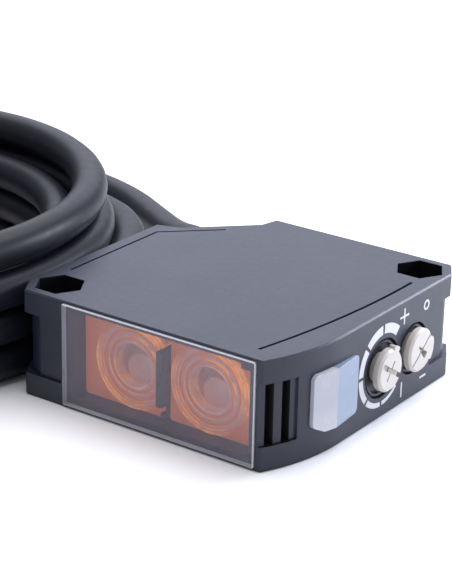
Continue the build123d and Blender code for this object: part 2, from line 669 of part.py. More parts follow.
FACET_FRONT_X, RIDGE_X, FACET_REAR_X = 24.51, 25.95, 25.3
RIDGE_Y = -12.5
GUIDE_END_X = 18.9

with BuildPart() as indicator_window:
    add(extrude(indicator_profile(0), amount=THROUGH, mode=Mode.PRIVATE))
    # two facets that meet in an upright ridge
    with BuildSketch(Plane.XY):
        with BuildLine():
            Polyline(
                (GUIDE_END_X, INDICATOR_Y[0] - 1),
                (FACET_FRONT_X, INDICATOR_Y[0] - 1),
                (RIDGE_X, RIDGE_Y),
                (FACET_REAR_X, INDICATOR_Y[1] + 1),
                (GUIDE_END_X, INDICATOR_Y[1] + 1),
                (GUIDE_END_X, INDICATOR_Y[0] - 1),
            )
        make_face()
    extrude(amount=HEIGHT, mode=Mode.INTERSECT)
    # light guide that reaches in towards the LEDs
    with Locations((INDICATOR_SEAT_X, middle(GUIDE_Y), middle(GUIDE_Z))):
        Box(INDICATOR_SEAT_X - GUIDE_END_X, width(GUIDE_Y), width(GUIDE_Z),
            align=(Align.MAX, Align.CENTER, Align.CENTER))
pieces["indicator_window"] = indicator_window

# ---------------------------------------------------------------- adjusters
STEM_END_X = 18.7
SEAL_X, SEAL_SECTION = 22.6, 0.4
SEAL_GROOVE_W, SEAL_GROOVE_R = 0.84, 1.5
CLIP_X, CLIP_T = 20.2, 0.5
CLIP_R, CLIP_MOUTH = 3.0, 1.6
CLIP_GROOVE_R = 1.55
TONGUE = (3.0, 0.7)      # width and thickness of the tongue on the stem's end


HEAD_CHAMFER = 0.35
THIN_SLOT_W, THIN_SLOT_DEPTH, WIDE_SLOT_DEPTH = 0.3, 0.5, 0.75
PIT_R, PIT_DEPTH = 0.45, 0.9


def sector(radius, start, end):
    """A slice of a disc between two angles, with rounded outer corners."""
    tips = [(2 * radius * cos(radians(angle)), 2 * radius * sin(radians(angle)))
            for angle in (start, (start + end) / 2, end)]
    with BuildSketch() as disc:
        Circle(radius)
        Polygon((0, 0), *tips, align=None, mode=Mode.INTERSECT)
        fillet(disc.vertices().sort_by_distance((0, 0, 0))[1:], 0.3)
    return disc.sketch


def knob(centre, radius, tab, thin_slot, wide_slot):
    """A knob on its stem: bevelled head, pointer tab, crossed slots and a driving tongue.

    Angles are measured from +Y towards +Z. The tab is (first angle, last angle, reach beyond
    the rim), the thin slot (angle, start, end), and the wide slot (angle, start, end, width at
    the start, width at the end).
    """
    face = side_plane(HEAD_X[1])
    tab_start, tab_end, tab_reach = tab
    thin_angle, thin_start, thin_end = thin_slot
    wide_angle, wide_start, wide_end, start_width, end_width = wide_slot
    with BuildPart() as piece:
        with BuildSketch(side_plane(HEAD_X[0])):
            with Locations(centre):
                Circle(radius)
        extrude(amount=width(HEAD_X))
        rim = piece.edges().filter_by(GeomType.CIRCLE).group_by(Axis.X)[-1]
        chamfer(rim, HEAD_CHAMFER)
        with BuildSketch(side_plane(HEAD_X[0] + 0.15)):
            with Locations(centre):
                add(sector(radius + tab_reach, tab_start, tab_end))
        extrude(amount=width(HEAD_X) - 0.2)
        with BuildSketch(side_plane(STEM_END_X)):
            with Locations(centre):
                Circle(STEM_R)
        extrude(amount=HEAD_X[0] - STEM_END_X)
        # crossed screwdriver slots, with a round pit where they meet
        with BuildSketch(face):
            with Locations(Location(centre, wide_angle)):
                Polygon(
                    (wide_start, -start_width / 2), (wide_end, -end_width / 2),
                    (wide_end, end_width / 2), (wide_start, start_width / 2), align=None,
                )
        extrude(amount=-WIDE_SLOT_DEPTH, mode=Mode.SUBTRACT)
        with BuildSketch(face):
            with Locations(Location(centre, thin_angle)):
                with Locations((middle((thin_start, thin_end)), 0)):
                    Rectangle(thin_end - thin_start, THIN_SLOT_W)
        extrude(amount=-THIN_SLOT_DEPTH, mode=Mode.SUBTRACT)
        with BuildSketch(face):
            with Locations(centre):
                Circle(PIT_R)
        extrude(amount=-PIT_DEPTH, mode=Mode.SUBTRACT)
        # grooves for the seal and the clip
        for start, length, floor_r in (
            (SEAL_X - SEAL_GROOVE_W / 2, SEAL_GROOVE_W, SEAL_GROOVE_R),
            (CLIP_X, CLIP_T, CLIP_GROOVE_R),
        ):
            with BuildSketch(side_plane(start)):
                with Locations(centre):
                    Circle(STEM_R + 1)
                    Circle(floor_r, mode=Mode.SUBTRACT)
            extrude(amount=length, mode=Mode.SUBTRACT)
        # tongue that drives the rotor
        with Locations((STEM_END_X, *centre)):
            Box(0.6, TONGUE[0], TONGUE[1], align=(Align.MAX, Align.CENTER, Align.CENTER))
    return piece


def stem_seal(centre):
    """Rubber ring in the stem's groove."""
    with BuildPart() as ring:
        with BuildSketch(Plane((SEAL_X, *centre), x_dir=(0, 1, 0), z_dir=(0, 0, 1))):
            with Locations((STEM_BORE_R - 0.05 - SEAL_SECTION, 0)):
                Circle(SEAL_SECTION)
        revolve(axis=Axis((SEAL_X, *centre), (1, 0, 0)))
    return ring


def stem_clip(centre):
    """Spring clip that keeps the knob in the wall: an open ring."""
    with BuildPart() as ring:
        with BuildSketch(side_plane(CLIP_X + 0.02)):
            with Locations(centre):
                Circle(CLIP_R)
                Circle(CLIP_GROOVE_R + 0.03, mode=Mode.SUBTRACT)
            with Locations((centre[0], centre[1] - 2.4)):
                Rectangle(CLIP_MOUTH, 2.6, mode=Mode.SUBTRACT)
        extrude(amount=CLIP_T - 0.04)
    return ring


ROTOR_X = (17.65, 18.65)
ROTOR_R, HUB_R, HUB_LENGTH = 2.2, 1.2, 1.5
CONTROL_DEPTH, CONTROL_HEIGHT = 5.0, 6.9


def rotor(centre):
    """Slotted rotor that the knob's tongue drives, with its hub in the control's body."""
    with BuildPart() as disc:
        with BuildSketch(side_plane(ROTOR_X[0])):
            with Locations(centre):
                Circle(ROTOR_R)
        extrude(amount=width(ROTOR_X))
        with BuildSketch(side_plane(ROTOR_X[0])):
            with Locations(centre):
                Circle(HUB_R)
        extrude(amount=-HUB_LENGTH)
        with Locations((ROTOR_X[1], *centre)):
            Box(0.65, TONGUE[0] + GAP, TONGUE[1] + GAP,
                align=(Align.MAX, Align.CENTER, Align.CENTER), mode=Mode.SUBTRACT)
    return disc


def control_body(centre, wide):
    """Body of the trimmer or the switch, standing on the main board."""
    with BuildPart() as block:
        with Locations((ROTOR_X[0] - 0.05, centre[0], BOARD_TOP)):
            Box(CONTROL_DEPTH, wide, CONTROL_HEIGHT, align=(Align.MAX, Align.CENTER, Align.MIN))
        with BuildSketch(side_plane(ROTOR_X[0])):
            with Locations(centre):
                Circle(HUB_R + 0.06)
        extrude(amount=-(HUB_LENGTH + 0.2), mode=Mode.SUBTRACT)
    return block


pieces["sensitivity_knob"] = knob(
    SENSITIVITY, 3.4, tab=(50, 76, 0.5), thin_slot=(53, -1.8, 1.6),
    wide_slot=(-32, -2.6, 4.4, 0.8, 0.8),
)
pieces["mode_knob"] = knob(
    MODE, 3.5, tab=(-41, 22, 0.25), thin_slot=(38, -3.1, 4.2),
    wide_slot=(-44, -1.2, 1.8, 0.4, 1.2),
)
for control, centre, body_name, body_width in (
    ("sensitivity", SENSITIVITY, "sensitivity_trimmer", 6.6),
    ("mode", MODE, "mode_switch", 6.0),
):
    pieces[f"{control}_seal"] = stem_seal(centre)
    pieces[f"{control}_clip"] = stem_clip(centre)
    pieces[f"{control}_rotor"] = rotor(centre)
    pieces[body_name] = control_body(centre, body_width)

# ---------------------------------------------------------------- cable entry
BUSH_BORE = CABLE_R
BUSH_TIP = CUT_DISTANCE + BUSH_LENGTH
FLANGE_T, FLANGE_R, NECK_R = 1.4, 4.8, 3.98
SLEEVE_R, SLEEVE_TIP_R, SLEEVE_STRAIGHT = 4.9, 3.7, 1.2
RELIEFS, RELIEF_START, RELIEF_PITCH, RELIEF_STEP = 3, 2.4, 1.7, 0.3
RELIEF_W, RELIEF_DEPTH = 0.7, 1.2
bush_inner = CUT_DISTANCE - WALL - FLANGE_T

# rubber bush: a flange inside the wall, a neck through it and a tapered sleeve with
# three relief grooves outside
with BuildPart() as cable_bush:
    with BuildSketch(Plane(origin=along(0), x_dir=DIAGONAL, z_dir=(1, 1, 0))):
        with BuildLine():
            Polyline(
                (bush_inner, BUSH_BORE),
                (bush_inner, FLANGE_R),
                (bush_inner + FLANGE_T, FLANGE_R),
                (bush_inner + FLANGE_T, NECK_R),
                (CUT_DISTANCE, NECK_R),
                (CUT_DISTANCE, SLEEVE_R),
                (CUT_DISTANCE + SLEEVE_STRAIGHT, SLEEVE_R),
                (BUSH_TIP, SLEEVE_TIP_R),
                (BUSH_TIP, BUSH_BORE),
                (bush_inner, BUSH_BORE),
            )
        make_face()
        for step in range(RELIEFS):
            distance = CUT_DISTANCE + RELIEF_START + RELIEF_PITCH * step
            with Locations((distance, SLEEVE_R - RELIEF_STEP * step)):
                Rectangle(RELIEF_W, RELIEF_DEPTH, mode=Mode.SUBTRACT)
    revolve(axis=Axis(along(0), DIAGONAL))
pieces["cable_bush"] = cable_bush

# end of the cable's jacket, held inside the case
JACKET_END = 13.4
with BuildPart() as cable_inner:
    with BuildSketch(cable_plane(JACKET_END)):
        Circle(CABLE_R)
    extrude(amount=BUSH_TIP - JACKET_END)
pieces["cable_inner"] = cable_inner

# saddle that clamps the cable to the case floor, with its two screws
SADDLE = (14.2, 17.0)
SADDLE_TOP = 12.9
SADDLE_W = 10.8
SCREW_OFFSET, SCREW_LENGTH, CLAMP_HEAD_R = 4.2, 6.0, 1.2
saddle_plane = Plane(along(middle(SADDLE), z=SADDLE_TOP), x_dir=DIAGONAL)
with BuildPart() as cable_clamp:
    with BuildSketch(cable_plane(SADDLE[0])):
        with Locations((0, middle((FLOOR, SADDLE_TOP)) - CABLE_Z)):
            Rectangle(SADDLE_W, SADDLE_TOP - FLOOR)
        Circle(CABLE_R, mode=Mode.SUBTRACT)
    extrude(amount=width(SADDLE))
    with BuildSketch(saddle_plane):
        with Locations((0, -SCREW_OFFSET), (0, SCREW_OFFSET)):
            Circle(POST_BORE_R)
    extrude(amount=-SCREW_LENGTH, mode=Mode.SUBTRACT)
pieces["cable_clamp"] = cable_clamp

with BuildPart() as clamp_screws:
    with BuildSketch(saddle_plane):
        with Locations((0, -SCREW_OFFSET), (0, SCREW_OFFSET)):
            Circle(SHANK_R)
    extrude(amount=-SCREW_LENGTH)
    with BuildSketch(saddle_plane):
        with Locations((0, -SCREW_OFFSET), (0, SCREW_OFFSET)):
            Circle(CLAMP_HEAD_R)
    extrude(amount=SCREW_HEAD_T)
pieces["clamp_screws"] = clamp_screws

# conductors between the jacket's end and the solder pads
CORE_OFFSETS = {"brown": (-1.2, 1.2), "blue": (1.2, 1.2), "black": (-1.2, -1.2), "white": (1.2, -1.2)}
for step, (colour, (sideways, rise)) in enumerate(CORE_OFFSETS.items()):
    start = along(JACKET_END, sideways, CABLE_Z + rise)
    out = along(JACKET_END - 3.0, sideways * 1.2, CABLE_Z + rise)
    pad = along(7.4, -4.5 + 3.0 * step, BOARD_TOP)
    above = Vector(pad.X, pad.Y, BOARD_TOP + 2.4)
    with BuildPart() as wire:
        with BuildLine() as route:
            FilletPolyline(start, out, above, pad, radius=0.9)
        with BuildSketch(Plane(origin=route.line @ 0, z_dir=route.line % 0)):
            Circle(CORE_R * 0.8)
        sweep(path=route.line)
    pieces[f"inner_wire_{colour}"] = wire

# ---------------------------------------------------------------- the free cable
LEAD_POINTS = [
    tuple(along(BUSH_TIP)),
    tuple(along(BUSH_TIP + 10.3)),
    (-38.6, 34.5, 5.0),
    (-48.8, 42.0, 3.6),
    (-60.6, 49.2, 3.1),
    (-75.2, 53.3, 3.05),
    (-90.2, 51.4, 3.0),
    (-103.0, 43.7, 3.05),
    (-111.4, 31.2, 3.0),
    (-114.9, 12.8, 3.05),
    (-115.0, -3.6, 3.0),
]


def bend_radii(points):
    """The largest arcs that fit a route: 0.45 of the shorter run over tan(half the turn)."""
    radii = []
    for before, here, after in zip(points, points[1:], points[2:]):
        into = Vector(*here) - Vector(*before)
        away = Vector(*after) - Vector(*here)
        turn = radians(into.get_angle(away))
        radii.append(0.45 * min(into.length, away.length) / tan(turn / 2))
    return radii


def tube(points, radius, label):
    """A round tube along straight runs joined by tangent arcs."""
    radii = bend_radii(points)
    with BuildPart() as hose:
        with BuildLine() as route:
            FilletPolyline(*points, radius=radii)
        with BuildSketch(Plane(origin=route.line @ 0, z_dir=route.line % 0)):
            Circle(radius)
        sweep(path=route.line)
    length = sum(edge.length for edge in route.line.edges())
    expected = pi * radius**2 * length
    print(f"{label}: length {length:.1f}, radii {[round(r, 1) for r in radii]}, "
          f"volume {hose.part.volume / expected:.3f} of section x length")
    return hose


pieces["cable_lead"] = tube(LEAD_POINTS, CABLE_R, "cable_lead")

# the coil: four turns stacked in the outer column and three inside them
with BuildPart() as cable_coil:
    outer = COIL_R + CABLE_R
    inner = COIL_INNER_R - CABLE_R
    step_r = COIL_R - CABLE_R
    with BuildSketch(Plane((*COIL_CENTRE, 0), x_dir=(1, 0, 0), z_dir=(0, -1, 0))):
        with BuildLine():
            Polyline(
                (inner, 0), (outer, 0), (outer, 8 * CABLE_R), (step_r, 8 * CABLE_R),
                (step_r, 6 * CABLE_R), (inner, 6 * CABLE_R), (inner, 0),
            )
        make_face()
    revolve(axis=Axis((*COIL_CENTRE, 0), (0, 0, 1)))
pieces["cable_coil"] = cable_coil


def coil_point(radius, angle, z):
    """A point around the coil's centre, the angle measured from +X towards +Y."""
    x = COIL_CENTRE[0] + radius * cos(radians(angle))
    y = COIL_CENTRE[1] + radius * sin(radians(angle))
    return (x, y, z)


# the last stretch of cable turns in from the inner column and ends on the floor
TAIL_POINTS = [
    coil_point(COIL_INNER_R, 150, CABLE_R),
    coil_point(COIL_INNER_R - 0.6, 168, CABLE_R),
    coil_point(COIL_INNER_R - 2.4, 186, CABLE_R),
    coil_point(COIL_INNER_R - 5.4, 205, CABLE_R),
    coil_point(COIL_INNER_R - 9.2, 225, CABLE_R),
]
pieces["cable_tail"] = tube(TAIL_POINTS, CABLE_R, "cable_tail")

# four insulated conductors at the cable's end, fanned out on the floor, with tinned tips
tail_end = Vector(*TAIL_POINTS[-1])
tail_way = (tail_end - Vector(*TAIL_POINTS[-2])).normalized()
tail_side = tail_way.rotate(Axis.Z, 90)
fan_way = tail_way.rotate(Axis.Z, 45)
fan_side = fan_way.rotate(Axis.Z, 90)
CORE_FLOOR = Vector(0, 0, CORE_R + 0.05)
FAN = {"brown": 8.0, "black": 3.0, "white": -2.5, "blue": -7.5}
TIP_R, TIP_LENGTH = 0.4, 6.0         # tinned ends of the conductors
core_ends = []
for colour, (sideways, rise) in CORE_OFFSETS.items():
    start = tail_end - tail_side * sideways + Vector(0, 0, rise)
    out = start + tail_way * 6.0
    down = tail_end + tail_way * 6.0 + fan_way * 10.0 + fan_side * FAN[colour] * 0.5
    end = down + fan_way * 14.0 + fan_side * FAN[colour] * 0.5
    down = Vector(down.X, down.Y, 0) + CORE_FLOOR
    end = Vector(end.X, end.Y, 0) + CORE_FLOOR
    core_points = [tuple(point) for point in (start, out, down, end)]
    pieces[f"core_{colour}"] = tube(core_points, CORE_R, f"core_{colour}")
    core_ends.append((end, (end - down).normalized()))

with BuildPart() as core_tips:
    for end, way in core_ends:
        with BuildSketch(Plane(origin=end, z_dir=way)):
            Circle(TIP_R)
        extrude(amount=TIP_LENGTH)
pieces["core_tips"] = core_tips

# ---------------------------------------------------------------- export
for node, piece in pieces.items():
    piece.part.label = node
    export_step(piece.part, f"parts/{node}.step")
print(len(pieces), "nodes")
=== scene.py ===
# Looks of a square photoelectric sensor with its coiled cable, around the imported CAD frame.
# Objects are in metres, in the CAD part's own frame. The sizes and places named here are in
# millimetres and turn into metres through MM, except where a comment says that they are in metres.
import json
import math

import bmesh
import bpy
from mathutils import Matrix, Vector


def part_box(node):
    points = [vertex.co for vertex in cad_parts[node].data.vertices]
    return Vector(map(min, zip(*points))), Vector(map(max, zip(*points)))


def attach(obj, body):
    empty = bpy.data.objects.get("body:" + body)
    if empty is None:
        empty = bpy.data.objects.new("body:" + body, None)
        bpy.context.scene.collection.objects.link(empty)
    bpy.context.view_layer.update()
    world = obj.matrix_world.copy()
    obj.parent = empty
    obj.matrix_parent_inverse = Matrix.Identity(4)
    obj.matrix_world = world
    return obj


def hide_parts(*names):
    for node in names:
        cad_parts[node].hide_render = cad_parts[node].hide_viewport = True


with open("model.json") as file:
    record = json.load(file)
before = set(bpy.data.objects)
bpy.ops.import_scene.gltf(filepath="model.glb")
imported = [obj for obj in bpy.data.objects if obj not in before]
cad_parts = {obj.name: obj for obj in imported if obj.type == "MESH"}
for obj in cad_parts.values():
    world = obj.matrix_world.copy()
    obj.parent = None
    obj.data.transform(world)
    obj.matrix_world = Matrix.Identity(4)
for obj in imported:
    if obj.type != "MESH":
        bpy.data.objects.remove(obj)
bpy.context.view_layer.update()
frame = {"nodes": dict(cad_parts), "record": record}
MM = 0.001
scene = bpy.context.scene

# ---------------------------------------------------------------- camera
AZIMUTH, ELEVATION, ROLL = (math.radians(angle) for angle in (35.254, 21.744, 1.202))
CAMERA_PLACE = (0.16276, -0.23460, 0.12865)      # in metres
LENS_MM = 121.9


def make_camera():
    """A long lens that looks down on the window and the adjuster side from the front right."""
    camera = bpy.data.objects.new("camera", bpy.data.cameras.new("camera"))
    scene.collection.objects.link(camera)
    camera.data.lens = LENS_MM
    camera.data.clip_start = 0.01
    turn = Matrix.Rotation(AZIMUTH, 4, "Z")
    tilt = Matrix.Rotation(math.pi / 2 - ELEVATION, 4, "X")
    roll = Matrix.Rotation(ROLL, 4, "Z")
    camera.matrix_world = Matrix.Translation(CAMERA_PLACE) @ turn @ tilt @ roll
    scene.camera = camera


make_camera()

# ---------------------------------------------------------------- cable
CABLE_D = 6.0
CABLE_R = CABLE_D / 2 * MM           # in metres
BUSH_TIP = 31.3                      # distance of the bush's tip from the middle of the body
BUSH_STRAIGHT = 10.3                 # the cable stays on the bush's axis for this long
CABLE_Z = 7.6                        # height of the bush's axis

COIL_CENTRE = (-72.0, -16.0)
COIL_R, COIL_INNER_R = 43.0, 37.0
OUTER_TURNS, INNER_TURNS = 4, 3
POINTS_PER_TURN = 24
JOIN_ANGLE = 164                     # where the lead becomes the first turn
END_ANGLE = 150                      # where the last turn becomes the tail
CROSSING = (100, 160)                # each turn moves up or down to the next between these angles
LATE_CROSSING = (180, 235)           # the last turn but one moves down between these instead
BULGE = (4.6, 7.5)                   # how far the two lowest turns stand out towards the body
BULGE_ANGLE, BULGE_REACH = 56, 30
TOP_LIFT, TOP_LIFT_ANGLE, TOP_LIFT_REACH = 1.2, 262, 45      # the top turn rises over an arc
TOP_NARROWER, TOP_SHIFT = 0.5, -0.3  # and is a little smaller and further from the body
UNDER_TOP_SHIFT = 0.6                # the turn below it lies nearer to the body


def on_cable_axis(distance):
    return (-distance / math.sqrt(2), distance / math.sqrt(2), CABLE_Z)


# the free stretch between the bush and the coil, as in the CAD part
LEAD_POINTS = [
    on_cable_axis(BUSH_TIP),
    on_cable_axis(BUSH_TIP + BUSH_STRAIGHT),
    (-38.6, 34.5, 5.0),
    (-48.8, 42.0, 3.6),
    (-60.6, 49.2, 3.1),
    (-75.2, 53.3, 3.05),
    (-90.2, 51.4, 3.0),
    (-103.0, 43.7, 3.05),
    (-111.4, 31.2, 3.0),
    (-114.9, 12.8, 3.05),
    (-115.0, -3.6, 3.0),
]
# the last stretch, which leaves the inner column: radius and angle about the coil's centre
TAIL_POLAR = [
    (COIL_INNER_R - 0.6, 168),
    (COIL_INNER_R - 2.4, 186),
    (COIL_INNER_R - 5.4, 205),
    (COIL_INNER_R - 9.2, 225),
]


def polar(centre, radius, angle):
    return (
        centre[0] + radius * math.cos(math.radians(angle)),
        centre[1] + radius * math.sin(math.radians(angle)),
    )


def smooth_step(value, start, end):
    """0 up to start, 1 from end on, and an even change of pace between them."""
    t = min(max((value - start) / (end - start), 0), 1)
    return t * t * (3 - 2 * t)


def bump(angle, centre, reach):
    """A smooth bump around an angle, 1 at its top."""
    away = (angle - centre + 180) % 360 - 180
    return math.exp(-((away / reach) ** 2))


def coil_point(angle):
    """The cable's place in the coil, where angle counts on through all the turns."""
    turn = int((angle - JOIN_ANGLE) // 360)
    crossing = LATE_CROSSING if turn == OUTER_TURNS + INNER_TURNS - 2 else CROSSING
    done = turn + smooth_step(angle - 360 * (turn + 1), *crossing)
    climbed = min(done, OUTER_TURNS - 1)
    dropped = max(done - (OUTER_TURNS - 1), 0)
    z = CABLE_D / 2 + CABLE_D * climbed - CABLE_D * min(dropped, INNER_TURNS)
    inwards = min(dropped, 1)
    radius = COIL_R + (COIL_INNER_R - COIL_R) * inwards
    x0, y0 = COIL_CENTRE
    if turn < len(BULGE):
        radius += BULGE[turn] * bump(angle, BULGE_ANGLE, BULGE_REACH)
    if turn == OUTER_TURNS - 1:
        radius -= TOP_NARROWER
        x0 += TOP_SHIFT * (1 - inwards)
        z += TOP_LIFT * bump(angle, TOP_LIFT_ANGLE, TOP_LIFT_REACH)
    if turn == OUTER_TURNS - 2:
        x0 += UNDER_TOP_SHIFT
    # a spline of order 3 passes inside its points, so these stand out by as much
    radius /= (6 + 2 * math.cos(math.radians(360 / POINTS_PER_TURN))) / 8
    return (*polar((x0, y0), radius, angle), z)


def coil_points():
    """The coil's turns: four climbing in the outer column, then three going down inside it."""
    turned = END_ANGLE + 360 * (OUTER_TURNS + INNER_TURNS) - JOIN_ANGLE
    count = round(turned / (360 / POINTS_PER_TURN))
    return [coil_point(JOIN_ANGLE + turned * index / count) for index in range(1, count)]


def tail_points():
    return [(*polar(COIL_CENTRE, radius, angle), CABLE_D / 2) for radius, angle in TAIL_POLAR]


def make_cable():
    data = bpy.data.curves.new("cable", "CURVE")
    data.dimensions = "3D"
    data.bevel_depth = 1.0           # times each point's radius
    data.bevel_resolution = 7
    data.resolution_u = 6
    data.use_fill_caps = True
    points = LEAD_POINTS + coil_points() + tail_points()
    spline = data.splines.new("NURBS")
    spline.points.add(len(points) - 1)
    for place, point in zip(points, spline.points):
        point.co = (*(value * MM for value in place), 1.0)
        point.radius = CABLE_R
    spline.order_u = 3
    spline.use_endpoint_u = True
    cable = bpy.data.objects.new("cable", data)
    scene.collection.objects.link(cable)
    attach(cable, "body")
    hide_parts("cable_lead", "cable_coil", "cable_tail")
    [value * MM for value in LEAD_POINTS[0]]
    return cable


cable = make_cable()

# ---------------------------------------------------------------- printed marks
SIDE_X = 25.0                        # flat side of the body with the adjusters
INK_T = 0.03
SCALE_CENTRE = (1.4, 8.5)            # y and z, as in all these marks
SCALE_START, SCALE_STEP, SCALE_ARC, SCALE_PARTS = 48, 45, 40, 6
SCALE_OUTER_R, SCALE_OUTER_LOSS = 6.9, 0.5       # outer radius, and how much it shrinks
SCALE_INNER_R, SCALE_INNER_GAIN = 5.3, 0.65      # inner radius, and how much it grows
ARC_SIDES = 8                        # straight sides in each arc's edge
PLUS_CENTRE, PLUS_ARM, STROKE = (7.3, 14.8), 1.3, 0.34
MINUS = (7.45, 1.3, 3.8)             # y, lowest z and highest z
DARK_MARK, DARK_MARK_R, RING_STEP = (13.9, 14.6), 0.85, 15
LIGHT_MARK, LIGHT_MARK_HALF = (13.9, 2.6), 0.9


def ink(name, outlines):
    """Thin flat plates on the adjuster side, one for each outline in y and z."""
    mesh = bmesh.new()
    for outline in outlines:
        low = [mesh.verts.new((SIDE_X * MM, y * MM, z * MM)) for y, z in outline]
        high = [mesh.verts.new(((SIDE_X + INK_T) * MM, y * MM, z * MM)) for y, z in outline]
        mesh.faces.new(high)
        mesh.faces.new(low[::-1])
        for index in range(len(outline)):
            after = (index + 1) % len(outline)
            mesh.faces.new((low[index], low[after], high[after], high[index]))
    bmesh.ops.recalc_face_normals(mesh, faces=mesh.faces)
    data = bpy.data.meshes.new(name)
    mesh.to_mesh(data)
    mesh.free()
    plate = bpy.data.objects.new(name, data)
    scene.collection.objects.link(plate)
    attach(plate, "body")
    return plate


def scale_segments():
    """The sensitivity scale: arcs that get thinner from the highest setting to the lowest."""
    full = SCALE_STEP * (SCALE_PARTS - 1) + SCALE_ARC
    for part in range(SCALE_PARTS):
        inner, outer = [], []
        for step in range(ARC_SIDES + 1):
            angle = SCALE_START + SCALE_STEP * part + SCALE_ARC * step / ARC_SIDES
            along_scale = (angle - SCALE_START) / full
            outer.append(polar(SCALE_CENTRE, SCALE_OUTER_R - SCALE_OUTER_LOSS * along_scale, angle))
            inner.append(polar(SCALE_CENTRE, SCALE_INNER_R + SCALE_INNER_GAIN * along_scale**2, angle))
        yield outer + inner[::-1]


def bar(y0, z0, y1, z1):
    return [(y0, z0), (y1, z0), (y1, z1), (y0, z1)]


def plus_outline():
    (y, z), arm, half = PLUS_CENTRE, PLUS_ARM, STROKE / 2
    return [
        (y - arm, z - half), (y - half, z - half), (y - half, z - arm), (y + half, z - arm),
        (y + half, z - half), (y + arm, z - half), (y + arm, z + half), (y + half, z + half),
        (y + half, z + arm), (y - half, z + arm), (y - half, z + half), (y - arm, z + half),
    ]


def minus_outline():
    y, low, high = MINUS
    return bar(y - STROKE / 2, low, y + STROKE / 2, high)


def light_outline():
    (y, z), half = LIGHT_MARK, LIGHT_MARK_HALF
    return bar(y - half, z - STROKE / 2, y + half, z + STROKE / 2)


def ring_parts(centre, radius):
    """A round mark drawn as a line, in two halves."""
    for first in (0, 180):
        angles = range(first, first + 180 + RING_STEP, RING_STEP)
        yield [polar(centre, radius, angle) for angle in angles] + [
            polar(centre, radius - STROKE, angle) for angle in reversed(angles)
        ]


marks = [
    ink("scale_marks", scale_segments()),
    ink("plus_mark", [plus_outline()]),
    ink("minus_mark", [minus_outline()]),
    ink("dark_setting_mark", ring_parts(DARK_MARK, DARK_MARK_R)),
    ink("light_setting_mark", [light_outline()]),
]

# ---------------------------------------------------------------- materials
NOISE_SPAN = (0.3, 0.7)              # nearly all of a noise lies in here
TONE_SPAN = (0.35, 0.65)             # a tighter span, for clearer patches of colour


